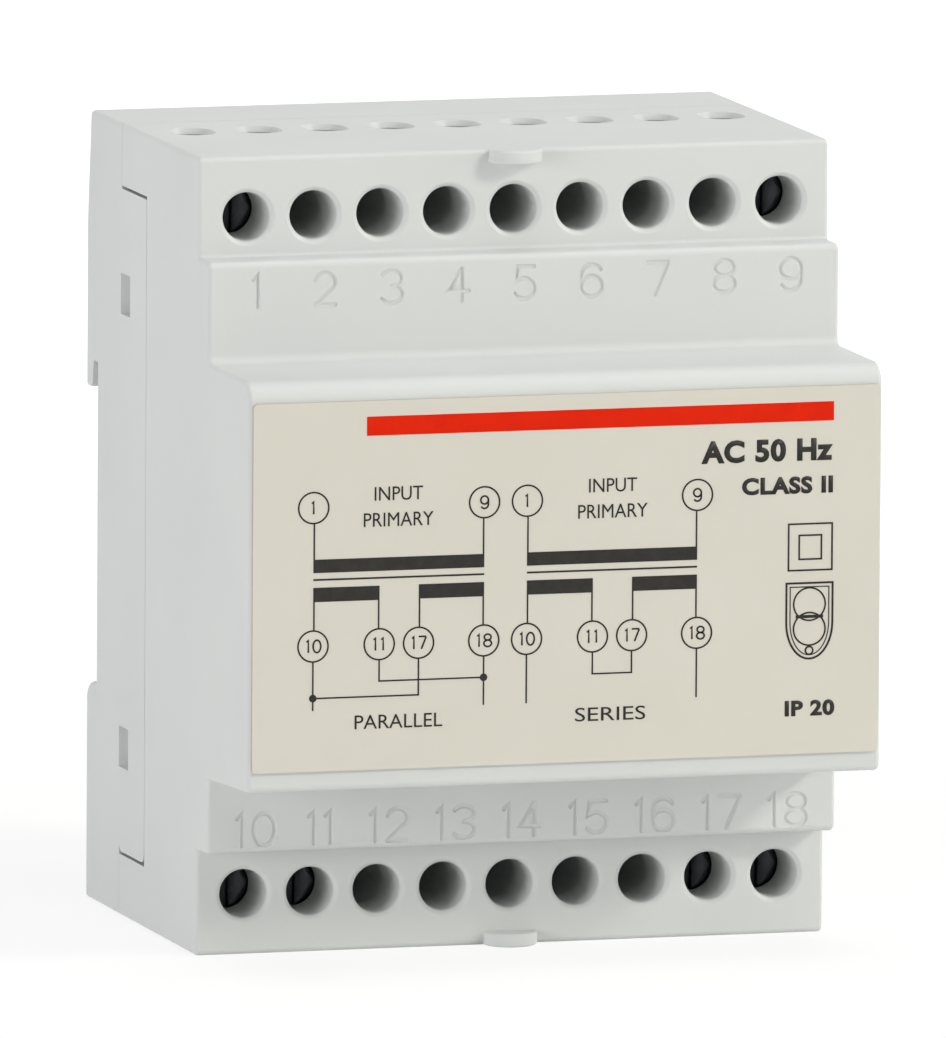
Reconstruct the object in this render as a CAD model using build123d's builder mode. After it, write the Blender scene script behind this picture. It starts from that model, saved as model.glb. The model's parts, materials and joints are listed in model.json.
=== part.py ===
from build123d import *
import os

# Housing: depths run forward from the back plane, heights run up from the lower end
width = 71.0
height = 87.0
wall = 2.0
panel_depth = 64.6
panel_rise = 16.2
strip_rise = 4.2
upper_block = 10.9
lower_block = 11.7
upper_shoulder = 21.9
lower_shoulder = 19.9
panel_draft = 0.8
panel_round = 2.4
panel_lower_round = 0.8
root_round = 1.0
strip_round = 0.8
block_round = 0.6
inside_corner_round = 0.4
side_round = 0.5

# Label on the front panel
label_side_margin = 0.35
label_end_margin = 2.2
label_thickness = 0.4
label_round = 0.5

# Round tabs on the front edges of the terminal blocks
tab_radius = 3.0
tab_reach = 2.8
tab_thickness = 1.5
tab_round = 0.3

# Joint between the base and the cover
split_depth = 13.6
seam = 0.08
tongue_depth = 23.6
tongue_half_height = 36.4
tongue_round = 1.0
tongue_end_gap = 0.15
tongue_side_gap = 0.35
window_offset = 24.9
window_height = 4.5
window_rear_depth = 13.4
window_front_depth = 17.1
arm_width = 7.0
arm_thickness = 1.2
arm_tail = 0.8
arm_root = 4.4
arm_gap = 0.1
hook_height = 4.1
hook_sink = 0.5
hook_flat = 0.5
hook_gap = 0.2
lip_thickness = 1.0
lip_reach = 2.4
lip_gap = 0.1
lip_end_gap = 3.5

# Seat for a 35 mm rail at the back
rail_height = 35.0
rail_center = 42.0
rail_gap = 0.15
rail_recess = 3.9
shoulder_drop = 0.4
shoulder_round = 2.2
hook_reach = 3.0
slot_width = 1.3
slot_mouth = 1.8
hook_round = 0.4
back_taper = 0.9
back_taper_height = 8.0
base_floor = 3.0
floor_slope_height = 2.0

# Sliding foot that grips the lower edge of the rail
latch_width = 15.0
latch_flange = 1.5
latch_thickness = 2.45
latch_flange_thickness = 1.1
latch_sink = 0.3
latch_gap = 0.15
latch_side_gap = 0.2
latch_low = 2.0
latch_nose = 2.2
latch_nose_tip = 0.75
latch_top_gap = 0.1
latch_block_wall = 2.3
latch_block_side = 1.8
pull_slot_width = 5.0
pull_slot_height = 1.4
pull_slot_low = 3.0
stop_low = 8.0
stop_height = 1.4
stop_width = 5.6
stop_sink = 0.8
spring_window_width = 6.4
spring_window_height = 10.1
spring_strip = 0.6
spring_width = 1.4
spring_runs = 6
spring_side_gap = 0.25
spring_bend_share = 0.49

# Terminals
positions = 9
end_gap = 0.4
screw_inset = 6.6
driver_hole = 5.3
driver_rim_chamfer = 0.2
sleeve_wall = 0.75
sleeve_length = 7.65
entry_width = 4.9
entry_length = 6.4

# Rising cage clamp: the screw turns in place and draws the cage forward
wire_gap = 5.1
bar_gap = 0.35
bar_thickness = 1.0
bar_bend = 0.6
bar_overrun = 2.9
lug_depth = 7.2
cage_gap = 0.15
cage_height = 5.2
cage_side = 0.75
cage_round = 0.6
jaw_thickness = 1.4
nut_thickness = 3.0
nut_gap = 0.6
clamp_travel = 4.2
screw_diameter = 4.0
thread_gap = 0.05
tip_gap = 0.05
head_diameter = 5.6
head_height = 2.4
head_gap = 0.6
head_chamfer = 0.4
screw_slot_width = 0.9
screw_slot_depth = 1.2
sleeve_gap = 0.2

# Welded core of E and I sheets
core_side_room = 3.5
core_height = 50.0
core_leg = 10.0
core_window_width = 10.0
core_gap = 0.2

# Coil
former_gap = 0.2
former_wall = 1.0
coil_rear_gap = 0.7
tape_thickness = 0.4
interlayer_thickness = 0.3
flange_rise = 0.4
flange_gap = 0.6
flange_thickness = 1.0
flange_round = 2.0
cutout_width = 10.0
cutout_height = 6.0
cutout_thickness = 3.2
cutout_round = 1.0
cutout_lead = 0.8
cutout_lead_length = 4.0

# Combs that carry the terminals
carrier_plate = 2.4
carrier_rear_depth = 6.0
carrier_rib = 1.0
carrier_gap = 0.2
groove_gap = 0.1
seat_width = 2.0
cradle_inset = 4.5
cradle_width = 2.0
cradle_half_height = 17.5
core_rib_offset = 13.0
core_rib = 1.6
core_rib_rear_depth = 28.5

# Leads from the windings to the lugs
lead_diameter = 1.5
lead_gap = 0.1
lead_bend = 2.0
primary_exit = 8.0
primary_level = 7.5
inner_exit = 4.0
inner_level = 9.0
outer_exit = 10.0
outer_level = 6.0

# Places that follow from the sizes above
overlap = 0.5
pick_room = 0.01
strip_depth = panel_depth - panel_rise
face_depth = strip_depth - strip_rise
back_y = (panel_depth + label_thickness) / 2
mid_z = height / 2
half_width = width / 2
inner_half = half_width - wall
hole_offset = mid_z - screw_inset
pitch = (2 * (inner_half - end_gap + cage_gap) + carrier_rib) / positions
upper_used = (1, positions)
lower_used = (positions + 1, positions + 2, 2 * positions - 1, 2 * positions)
panel_top = height - upper_shoulder
panel_bottom = lower_shoulder + panel_draft
panel_middle = (panel_top + panel_bottom) / 2
label_width = width - 2 * label_side_margin
label_height = panel_top - panel_bottom - 2 * label_end_margin
rail_top = rail_center + rail_height / 2
slot_top = rail_top + rail_gap
hook_end = slot_top - hook_reach
shoulder_z = rail_center - rail_height / 2 - shoulder_drop
recess_floor = rail_recess + wall
sleeve_end = face_depth - sleeve_length
head_front = sleeve_end - sleeve_gap
head_rear = head_front - head_height
cage_front = head_rear - head_gap - clamp_travel
nut_rear = cage_front - nut_thickness
bar_front = nut_rear - nut_gap
bar_rear = bar_front - bar_thickness
screw_tip = bar_front + tip_gap
entry_depth = bar_rear - wire_gap / 2
jaw_face = bar_rear - wire_gap
cage_rear = jaw_face - jaw_thickness
cage_width = pitch - carrier_rib - 2 * cage_gap
bar_width = cage_width - 2 * (cage_side + bar_gap)
core_width = 2 * (inner_half - core_side_room)
core_tongue = core_width - 2 * (core_leg + core_window_width)
former_flange = core_window_width - former_gap - former_wall - flange_gap
coil_build = former_flange - flange_rise - tape_thickness
core_rear = recess_floor + coil_rear_gap + former_flange + former_wall + former_gap
core_front = strip_depth - wall - core_gap
core_stack = core_front - core_rear
core_middle = (core_front + core_rear) / 2
core_window_height = core_height - 2 * core_leg
plate_inner = core_height / 2 + core_gap
plate_outer = plate_inner + carrier_plate
groove_floor = plate_outer - bar_thickness
carrier_half_width = inner_half - arm_gap - arm_thickness - carrier_gap
lip_half_width = inner_half - lip_end_gap
cradle_offset = core_width / 2 - cradle_inset
former_half_x = core_tongue / 2 + former_gap + former_wall
former_half_y = core_stack / 2 + former_gap + former_wall
former_half_z = core_window_height / 2 - former_gap
chamber_end = former_half_z - flange_thickness
chamber_start = flange_thickness / 2
layer_build = (coil_build - interlayer_thickness) / 2
coil_rear = core_middle - former_half_y - coil_build
coil_front = core_middle + former_half_y + coil_build

os.makedirs("parts", exist_ok=True)


def at(depth):
    return back_y - depth


def facing_front(depth):
    return Plane.XZ.offset(depth - back_y)


def closed_section(points, radii):
    with BuildSketch(Plane.YZ) as section:
        with BuildLine():
            FilletPolyline([(at(depth), z) for depth, z in points], radius=radii, close=True)
        make_face()
    return section.sketch


def sharp_section(points):
    return closed_section(points, [0] * len(points))


def plan_section(points, level):
    with BuildSketch(Plane.XY.offset(level)) as section:
        with BuildLine():
            Polyline([(x, at(depth)) for x, depth in points], close=True)
        make_face()
    return section.sketch


def box_between(x, depth, z, mode=Mode.ADD):
    center = ((x[0] + x[1]) / 2, at((depth[0] + depth[1]) / 2), (z[0] + z[1]) / 2)
    with Locations(center):
        Box(abs(x[1] - x[0]), abs(depth[1] - depth[0]), abs(z[1] - z[0]), mode=mode)


def save(part, name):
    part.label = name
    export_step(part, "parts/" + name + ".step")


def terminal_x(number):
    return ((number - 1) % positions - (positions - 1) / 2) * pitch


def terminal_side(number):
    return 1 if number <= positions else -1


def row_points(offset):
    columns = [terminal_x(number) for number in range(1, positions + 1)]
    return [(x, mid_z + side * offset) for side in (1, -1) for x in columns]


def cover_outline(inset, rear):
    face = face_depth - inset
    strip = strip_depth - inset
    panel = panel_depth - inset
    return [
        (rear, height - inset),
        (face, height - inset),
        (face, height - upper_block - inset),
        (strip, height - upper_block - inset),
        (strip, panel_top - inset),
        (panel, panel_top - inset),
        (panel, panel_bottom + inset),
        (strip, lower_shoulder + inset),
        (strip, lower_block + inset),
        (face, lower_block + inset),
        (face, inset),
        (rear, inset),
    ]


cover_radii = [
    0,
    block_round,
    inside_corner_round,
    strip_round,
    root_round,
    panel_round,
    panel_lower_round,
    inside_corner_round,
    strip_round,
    inside_corner_round,
    block_round,
    0,
]

# Disc that gives each terminal block its tab
with BuildPart() as round_tab:
    Cylinder(tab_radius, tab_thickness)
    fillet(round_tab.edges().filter_by(GeomType.CIRCLE), tab_round)

# Front cover: stepped shell with screw sleeves, wire entries, snap arms and core ribs
with BuildPart() as front_cover:
    extrude(closed_section(cover_outline(0, split_depth + seam), cover_radii), half_width, both=True)
    side_faces = front_cover.faces().filter_by(Axis.X)
    outline_edges = [side.edges().sort_by(Axis.Y)[:-1] for side in side_faces]
    fillet(outline_edges[0] + outline_edges[1], side_round)
    inner_outline = cover_outline(wall, split_depth - overlap)
    extrude(sharp_section(inner_outline), inner_half, both=True, mode=Mode.SUBTRACT)
    with BuildSketch(facing_front(sleeve_end)):
        with Locations(row_points(hole_offset)):
            Circle(driver_hole / 2 + sleeve_wall)
    extrude(amount=face_depth - wall / 2 - sleeve_end)
    with BuildSketch(facing_front(sleeve_end - overlap)):
        with Locations(row_points(hole_offset)):
            Circle(driver_hole / 2)
    extrude(amount=face_depth - sleeve_end + 2 * overlap, mode=Mode.SUBTRACT)
    face_y = at(face_depth)
    circles = front_cover.edges().filter_by(GeomType.CIRCLE)
    rims = circles.filter_by_position(Axis.Y, face_y - pick_room, face_y + pick_room)
    chamfer(rims, driver_rim_chamfer)
    for level in (height - wall, 0):
        with BuildSketch(Plane.XY.offset(level)):
            with Locations([(x, at(entry_depth)) for x, z in row_points(0)[:positions]]):
                SlotOverall(entry_length, entry_width, rotation=90)
        extrude(amount=wall, mode=Mode.SUBTRACT)
    tab_y = at(face_depth + tab_reach - tab_radius)
    with Locations((0, tab_y, height - tab_thickness / 2), (0, tab_y, tab_thickness / 2)):
        add(round_tab.part)
    notch_half = tongue_half_height + tongue_side_gap
    notch_rear = split_depth - overlap
    for side in (1, -1):
        outer = side * (half_width + overlap)
        inner = side * (inner_half - overlap)
        box_between(
            (inner, outer),
            (notch_rear, tongue_depth + tongue_end_gap),
            (mid_z - notch_half, mid_z + notch_half),
            Mode.SUBTRACT,
        )
        arm_out = inner_half - arm_gap
        arm_in = arm_out - arm_thickness
        arm_tip = window_rear_depth - arm_tail
        arm_end = tongue_depth + tongue_end_gap
        hook_front = window_front_depth - hook_gap
        for row in (1, -1):
            arm_low = mid_z + row * window_offset - arm_width / 2
            arm = [
                (side * arm_in, arm_tip),
                (side * arm_out, arm_tip),
                (side * arm_out, arm_end),
                (side * (inner_half + overlap), arm_end),
                (side * (inner_half + overlap), arm_end + arm_root),
                (side * arm_in, arm_end + arm_root),
            ]
            extrude(plan_section(arm, arm_low), amount=arm_width)
            hook_low = mid_z + row * window_offset - hook_height / 2
            hook = [
                (side * (arm_out - overlap), window_rear_depth + hook_gap),
                (side * arm_out, window_rear_depth + hook_gap),
                (side * (half_width - hook_sink), hook_front - hook_flat),
                (side * (half_width - hook_sink), hook_front),
                (side * (arm_out - overlap), hook_front),
            ]
            extrude(plan_section(hook, hook_low), amount=hook_height)
        for row in (1, -1):
            rib_z = mid_z + row * core_rib_offset
            box_between(
                (side * (core_width / 2 + core_gap), side * (inner_half + overlap)),
                (core_rib_rear_depth, panel_depth - wall / 2),
                (rib_z - core_rib / 2, rib_z + core_rib / 2),
            )
save(front_cover.part, "front_cover")

# Label stuck on the front panel
with BuildPart() as front_label:
    with BuildSketch(facing_front(panel_depth)):
        with Locations((0, panel_middle)):
            RectangleRounded(label_width, label_height, label_round)
    extrude(amount=label_thickness)
save(front_label.part, "front_label")

# Rear base: tray with the rail seat, fixed hook, side tongues and the guide of the sliding foot
back_outline = [
    (0, 0),
    (0, shoulder_z),
    (rail_recess, shoulder_z),
    (rail_recess, slot_top),
    (rail_recess - slot_width, slot_top),
    (rail_recess - slot_mouth, hook_end),
    (0, hook_end),
    (0, height - back_taper_height),
    (back_taper, height),
    (split_depth, height),
    (split_depth, 0),
]
back_radii = [
    side_round,
    shoulder_round,
    hook_round,
    0,
    hook_round,
    hook_round,
    hook_round,
    0,
    side_round,
    0,
    0,
]
tray_outline = [
    (base_floor, wall),
    (base_floor, shoulder_z - 2 * floor_slope_height),
    (recess_floor, shoulder_z - floor_slope_height),
    (recess_floor, slot_top + floor_slope_height),
    (base_floor, slot_top + 2 * floor_slope_height),
    (base_floor, height - wall),
    (split_depth + overlap, height - wall),
    (split_depth + overlap, wall),
]
guide_floor = latch_sink + latch_thickness + latch_gap
flange_rear = latch_sink + latch_thickness - latch_flange_thickness
flange_half = latch_width / 2 + latch_flange
with BuildPart() as rear_base:
    extrude(closed_section(back_outline, back_radii), half_width, both=True)
    long_edges = rear_base.edges().filter_by(Axis.Y)
    fillet(long_edges.group_by(Axis.Z)[0] + long_edges.group_by(Axis.Z)[-1], side_round)
    extrude(sharp_section(tray_outline), inner_half, both=True, mode=Mode.SUBTRACT)
    for side in (1, -1):
        with BuildSketch(Plane.YZ.offset(side * inner_half)) as tongue:
            with Locations((at((split_depth + tongue_depth) / 2), mid_z)):
                Rectangle(tongue_depth - split_depth, 2 * tongue_half_height)
            fillet(tongue.vertices().group_by(Axis.Y)[0], tongue_round)
        extrude(amount=side * wall)
        for row in (1, -1):
            window_z = mid_z + row * window_offset
            box_between(
                (side * (inner_half - overlap), side * (half_width + overlap)),
                (window_rear_depth, window_front_depth),
                (window_z - window_height / 2, window_z + window_height / 2),
                Mode.SUBTRACT,
            )
        box_between(
            (side * (cradle_offset - cradle_width / 2), side * (cradle_offset + cradle_width / 2)),
            (recess_floor - overlap, core_rear),
            (mid_z - cradle_half_height, mid_z + cradle_half_height),
        )
        for row in (1, -1):
            seat_x = side * pitch * (positions - 2) / 2
            box_between(
                (seat_x - seat_width / 2, seat_x + seat_width / 2),
                (base_floor - overlap, carrier_rear_depth),
                (mid_z + row * plate_outer, mid_z + row * hole_offset),
            )
    for row in (1, -1):
        lip_root = mid_z - wall + overlap
        lip_out = mid_z - wall - lip_gap
        lip = [
            (split_depth - lip_reach, mid_z + row * lip_root),
            (split_depth, mid_z + row * lip_root),
            (split_depth, mid_z + row * lip_out),
            (split_depth + lip_reach, mid_z + row * lip_out),
            (split_depth + lip_reach, mid_z + row * (lip_out - lip_thickness)),
            (split_depth - lip_reach, mid_z + row * (lip_out - lip_thickness)),
        ]
        extrude(sharp_section(lip), lip_half_width, both=True)
    guide_half = flange_half + latch_side_gap
    mouth_half = latch_width / 2 + latch_side_gap
    guide_top = shoulder_z - 2 * floor_slope_height
    block_half = guide_half + latch_block_side
    box_between(
        (-block_half, block_half),
        (base_floor - overlap, guide_floor + latch_block_wall),
        (wall - overlap, guide_top),
    )
    guide_span = (-overlap, shoulder_z + overlap)
    box_between((-guide_half, guide_half), (flange_rear - latch_gap, guide_floor), guide_span, Mode.SUBTRACT)
    box_between((-mouth_half, mouth_half), (-overlap, flange_rear), guide_span, Mode.SUBTRACT)
    box_between(
        (-stop_width / 2, stop_width / 2),
        (stop_sink, guide_floor + overlap),
        (stop_low, stop_low + stop_height),
    )
save(rear_base.part, "rear_base")

# Sliding foot with its nose behind the rail, a slot for a screwdriver and a window for the spring
latch_top = shoulder_z - latch_top_gap
latch_front = latch_sink + latch_thickness
window_low = stop_low - latch_top_gap
window_top = window_low + spring_window_height
with BuildPart() as rail_latch:
    box_between((-latch_width / 2, latch_width / 2), (latch_sink, latch_front), (latch_low, latch_top))
    box_between((-flange_half, flange_half), (flange_rear, latch_front), (latch_low, latch_top))
    nose = [
        (latch_sink, latch_top - overlap),
        (latch_sink, latch_top),
        (latch_front - latch_nose_tip, latch_top + latch_nose),
        (latch_front, latch_top + latch_nose),
        (latch_front, latch_top - overlap),
    ]
    extrude(sharp_section(nose), latch_width / 2, both=True)
    box_between(
        (-spring_window_width / 2, spring_window_width / 2),
        (0, latch_front + overlap),
        (window_low, window_top),
        Mode.SUBTRACT,
    )
    box_between(
        (-pull_slot_width / 2, pull_slot_width / 2),
        (0, latch_front + overlap),
        (pull_slot_low, pull_slot_low + pull_slot_height),
        Mode.SUBTRACT,
    )
save(rail_latch.part, "rail_latch")

# Spring folded from steel strip, between the stop of the base and the top of the window
spring_low = stop_low + stop_height + spring_strip / 2
spring_high = window_top - spring_strip / 2
spring_step = (spring_high - spring_low) / (spring_runs - 1)
spring_half = (spring_window_width - spring_strip) / 2 - spring_side_gap
spring_rear = latch_sink + (latch_thickness - spring_width) / 2
spring_points = []
for run in range(spring_runs):
    way = 1 if run % 2 == 0 else -1
    run_z = spring_low + run * spring_step
    spring_points += [(-way * spring_half, run_z), (way * spring_half, run_z)]
with BuildPart() as latch_spring:
    with BuildSketch(facing_front(spring_rear)):
        with BuildLine():
            FilletPolyline(spring_points, radius=spring_step * spring_bend_share)
        trace(line_width=spring_strip)
    extrude(amount=spring_width)
save(latch_spring.part, "latch_spring")

# Combs that part the terminals; each groove seats one contact bar
rib_end = mid_z - wall - lip_gap - lip_thickness - carrier_gap
for name, side in (("upper_terminal_carrier", 1), ("lower_terminal_carrier", -1)):
    with BuildPart() as carrier:
        box_between(
            (-carrier_half_width, carrier_half_width),
            (core_rear + carrier_gap, sleeve_end - carrier_gap),
            (mid_z + side * plate_inner, mid_z + side * plate_outer),
        )
        for number in range(1, positions + 1):
            groove_half = bar_width / 2 + groove_gap
            box_between(
                (terminal_x(number) - groove_half, terminal_x(number) + groove_half),
                (core_rear, bar_front + groove_gap),
                (mid_z + side * groove_floor, mid_z + side * (plate_outer + overlap)),
                Mode.SUBTRACT,
            )
        for number in range(1, positions):
            rib_x = terminal_x(number) + pitch / 2
            box_between(
                (rib_x - carrier_rib / 2, rib_x + carrier_rib / 2),
                (carrier_rear_depth, sleeve_end - carrier_gap),
                (mid_z + side * groove_floor, mid_z + side * rib_end),
            )
    save(carrier.part, name)

# One screw, cage, contact bar and lead for each terminal in use
for number in upper_used + lower_used:
    x = terminal_x(number)
    side = terminal_side(number)
    screw_z = mid_z + side * hole_offset
    with BuildPart() as terminal_screw:
        with BuildSketch(facing_front(screw_tip)):
            with Locations((x, screw_z)):
                Circle(screw_diameter / 2)
        extrude(amount=head_rear - screw_tip)
        with BuildSketch(facing_front(head_rear)):
            with Locations((x, screw_z)):
                Circle(head_diameter / 2)
        extrude(amount=head_height)
        chamfer(terminal_screw.faces().sort_by(Axis.Y)[0].edges(), head_chamfer)
        box_between(
            (x - screw_slot_width / 2, x + screw_slot_width / 2),
            (head_front - screw_slot_depth, head_front + overlap),
            (screw_z - head_diameter, screw_z + head_diameter),
            Mode.SUBTRACT,
        )
    save(terminal_screw.part, "terminal_screw_" + str(number))

    with BuildPart() as clamp_cage:
        cage_z = (screw_z - cage_height / 2, screw_z + cage_height / 2)
        box_between((x - cage_width / 2, x + cage_width / 2), (cage_rear, cage_front), cage_z)
        fillet(clamp_cage.edges().filter_by(Axis.Z), cage_round)
        inside_half = cage_width / 2 - cage_side
        box_between((x - inside_half, x + inside_half), (jaw_face, nut_rear), cage_z, Mode.SUBTRACT)
        with BuildSketch(facing_front(nut_rear)):
            with Locations((x, screw_z)):
                Circle(screw_diameter / 2 + thread_gap)
        extrude(amount=nut_thickness, mode=Mode.SUBTRACT)
    save(clamp_cage.part, "clamp_cage_" + str(number))

    with BuildPart() as contact_bar:
        bar_end = hole_offset + bar_overrun
        bar = [
            (lug_depth, mid_z + side * groove_floor),
            (bar_front, mid_z + side * groove_floor),
            (bar_front, mid_z + side * bar_end),
            (bar_rear, mid_z + side * bar_end),
            (bar_rear, mid_z + side * plate_outer),
            (lug_depth, mid_z + side * plate_outer),
        ]
        bar_radii = [0, bar_bend + bar_thickness, 0, 0, bar_bend, 0]
        extrude(Pos(X=x) * closed_section(bar, bar_radii), bar_width / 2, both=True)
    save(contact_bar.part, "contact_bar_" + str(number))

# Welded core: the E sheets stand with their back up, the I sheets close the window below
with BuildPart() as core_e_stack:
    with BuildSketch(facing_front(core_rear)):
        with Locations((0, mid_z + core_leg / 2)):
            Rectangle(core_width, core_height - core_leg)
        window_x = (core_tongue + core_window_width) / 2
        with Locations((window_x, mid_z), (-window_x, mid_z)):
            Rectangle(core_window_width, core_window_height, mode=Mode.SUBTRACT)
    extrude(amount=core_stack)
save(core_e_stack.part, "core_e_stack")

with BuildPart() as core_i_stack:
    with BuildSketch(facing_front(core_rear)):
        with Locations((0, mid_z - core_height / 2 + core_leg / 2)):
            Rectangle(core_width, core_leg)
    extrude(amount=core_stack)
save(core_i_stack.part, "core_i_stack")


def coil_ring(inner_grow, outer_grow, low, high):
    with BuildSketch(Plane.XY.offset(mid_z + low)) as ring:
        with Locations((0, at(core_middle))):
            RectangleRounded(2 * (former_half_x + outer_grow), 2 * (former_half_y + outer_grow), outer_grow)
            if inner_grow > 0:
                RectangleRounded(
                    2 * (former_half_x + inner_grow),
                    2 * (former_half_y + inner_grow),
                    inner_grow,
                    mode=Mode.SUBTRACT,
                )
            else:
                Rectangle(2 * former_half_x, 2 * former_half_y, mode=Mode.SUBTRACT)
    extrude(ring.sketch, amount=high - low)


# Where each lead leaves its winding: terminal, place along the flange, depth and level of its long run
primary_lead_depth = coil_rear + coil_build / 2
inner_lead_depth = core_middle - former_half_y - layer_build / 2
outer_lead_depth = coil_rear + layer_build / 2
lead_exits = [
    (upper_used[0], -primary_exit, primary_lead_depth, primary_level),
    (upper_used[1], primary_exit, primary_lead_depth, primary_level),
    (lower_used[0], -outer_exit, inner_lead_depth, outer_level),
    (lower_used[1], -inner_exit, inner_lead_depth, inner_level),
    (lower_used[2], inner_exit, outer_lead_depth, inner_level),
    (lower_used[3], outer_exit, outer_lead_depth, outer_level),
]

# Former with two chambers: primary above the middle flange, secondaries below it
with BuildPart() as coil_former:
    with BuildSketch(Plane.XY.offset(mid_z - former_half_z)):
        with Locations((0, at(core_middle))):
            Rectangle(2 * former_half_x, 2 * former_half_y)
    extrude(amount=2 * former_half_z)
    for low in (-former_half_z, -flange_thickness / 2, chamber_end):
        with BuildSketch(Plane.XY.offset(mid_z + low)):
            with Locations((0, at(core_middle))):
                RectangleRounded(
                    2 * (former_half_x + former_flange),
                    2 * (former_half_y + former_flange),
                    flange_round,
                )
        extrude(amount=flange_thickness)
    with BuildSketch(Plane.XY.offset(mid_z - former_half_z)):
        with Locations((0, at(core_middle))):
            Rectangle(2 * (former_half_x - former_wall), 2 * (former_half_y - former_wall))
    extrude(amount=2 * former_half_z, mode=Mode.SUBTRACT)
    for number, exit_x, exit_depth, level in lead_exits:
        hole_low = chamber_end if terminal_side(number) > 0 else -former_half_z
        with BuildSketch(Plane.XY.offset(mid_z + hole_low)):
            with Locations((exit_x, at(exit_depth))):
                Circle(lead_diameter / 2 + lead_gap)
        extrude(amount=flange_thickness, mode=Mode.SUBTRACT)
save(coil_former.part, "coil_former")

with BuildPart() as primary_winding:
    coil_ring(0, coil_build, chamber_start, chamber_end)
save(primary_winding.part, "primary_winding")

with BuildPart() as primary_tape:
    coil_ring(coil_build, coil_build + tape_thickness, chamber_start, chamber_end)
save(primary_tape.part, "primary_tape")

with BuildPart() as secondary_winding_a:
    coil_ring(0, layer_build, -chamber_end, -chamber_start)
save(secondary_winding_a.part, "secondary_winding_a")

with BuildPart() as interlayer_tape:
    coil_ring(layer_build, layer_build + interlayer_thickness, -chamber_end, -chamber_start)
save(interlayer_tape.part, "interlayer_tape")

with BuildPart() as secondary_winding_b:
    coil_ring(layer_build + interlayer_thickness, coil_build, -chamber_end, -chamber_start)
save(secondary_winding_b.part, "secondary_winding_b")

with BuildPart() as secondary_tape:
    coil_ring(coil_build, coil_build + tape_thickness, -chamber_end, -chamber_start)
save(secondary_tape.part, "secondary_tape")

# Thermal protector lying on the front of the primary, with its two lead ends
with BuildPart() as thermal_cutout:
    cutout_z = mid_z + (chamber_start + chamber_end) / 2
    with BuildSketch(facing_front(coil_front + tape_thickness)):
        with Locations((0, cutout_z)):
            RectangleRounded(cutout_width, cutout_height, cutout_round)
    extrude(amount=cutout_thickness)
    lead_y = at(coil_front + tape_thickness + cutout_lead / 2)
    with BuildSketch(Plane.YZ.offset(-cutout_width / 2 - cutout_lead_length)):
        with Locations((lead_y, cutout_z)):
            Circle(cutout_lead / 2)
    extrude(amount=cutout_width + 2 * cutout_lead_length)
save(thermal_cutout.part, "thermal_cutout")

for number, exit_x, exit_depth, level in lead_exits:
    side = terminal_side(number)
    run_z = mid_z + side * (former_half_z + level)
    lead_points = [
        (exit_x, mid_z + side * chamber_end),
        (exit_x, run_z),
        (terminal_x(number), run_z),
        (terminal_x(number), mid_z + side * groove_floor),
    ]
    with BuildPart() as lead:
        with BuildLine(facing_front(exit_depth)) as lead_path:
            Polyline(lead_points)
            chamfer(lead_path.vertices(), lead_bend)
        with BuildSketch(Plane(lead_path.line @ 0, z_dir=lead_path.line % 0)):
            Circle(lead_diameter / 2)
        sweep(path=lead_path.line, transition=Transition.RIGHT)
    save(lead.part, "lead_" + str(number))
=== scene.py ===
import json
import math

import bmesh
import bpy
from mathutils import Matrix, Vector


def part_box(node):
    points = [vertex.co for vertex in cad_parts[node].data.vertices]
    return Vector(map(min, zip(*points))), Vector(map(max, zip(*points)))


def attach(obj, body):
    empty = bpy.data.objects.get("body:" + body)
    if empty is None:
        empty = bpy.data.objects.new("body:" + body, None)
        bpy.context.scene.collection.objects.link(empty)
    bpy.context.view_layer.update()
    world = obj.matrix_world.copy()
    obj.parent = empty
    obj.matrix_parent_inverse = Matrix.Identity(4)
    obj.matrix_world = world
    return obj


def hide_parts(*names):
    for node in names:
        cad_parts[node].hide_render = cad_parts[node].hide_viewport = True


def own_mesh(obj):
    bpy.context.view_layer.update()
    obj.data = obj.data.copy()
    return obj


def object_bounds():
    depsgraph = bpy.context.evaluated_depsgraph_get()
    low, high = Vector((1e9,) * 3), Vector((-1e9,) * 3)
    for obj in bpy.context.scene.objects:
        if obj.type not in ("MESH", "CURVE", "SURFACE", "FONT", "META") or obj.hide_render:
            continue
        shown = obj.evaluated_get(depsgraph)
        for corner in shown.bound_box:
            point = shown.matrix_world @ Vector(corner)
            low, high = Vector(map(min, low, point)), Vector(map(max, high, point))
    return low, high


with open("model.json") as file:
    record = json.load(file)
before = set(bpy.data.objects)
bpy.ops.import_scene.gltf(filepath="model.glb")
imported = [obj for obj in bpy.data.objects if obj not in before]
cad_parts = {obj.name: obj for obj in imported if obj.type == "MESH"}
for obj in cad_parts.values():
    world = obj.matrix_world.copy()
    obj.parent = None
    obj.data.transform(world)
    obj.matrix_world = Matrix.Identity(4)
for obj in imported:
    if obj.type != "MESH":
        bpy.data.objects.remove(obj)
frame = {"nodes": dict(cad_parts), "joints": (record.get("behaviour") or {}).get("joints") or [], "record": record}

mm = 0.001
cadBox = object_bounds()
nodes = frame["nodes"]
scene = bpy.context.scene
print("frame loaded with", len(nodes), "nodes")


def tone(red, green, blue):  # a screen colour as shader light
    return tuple(((part / 255 + 0.055) / 1.055) ** 2.4 for part in (red, green, blue)) + (1,)


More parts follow.
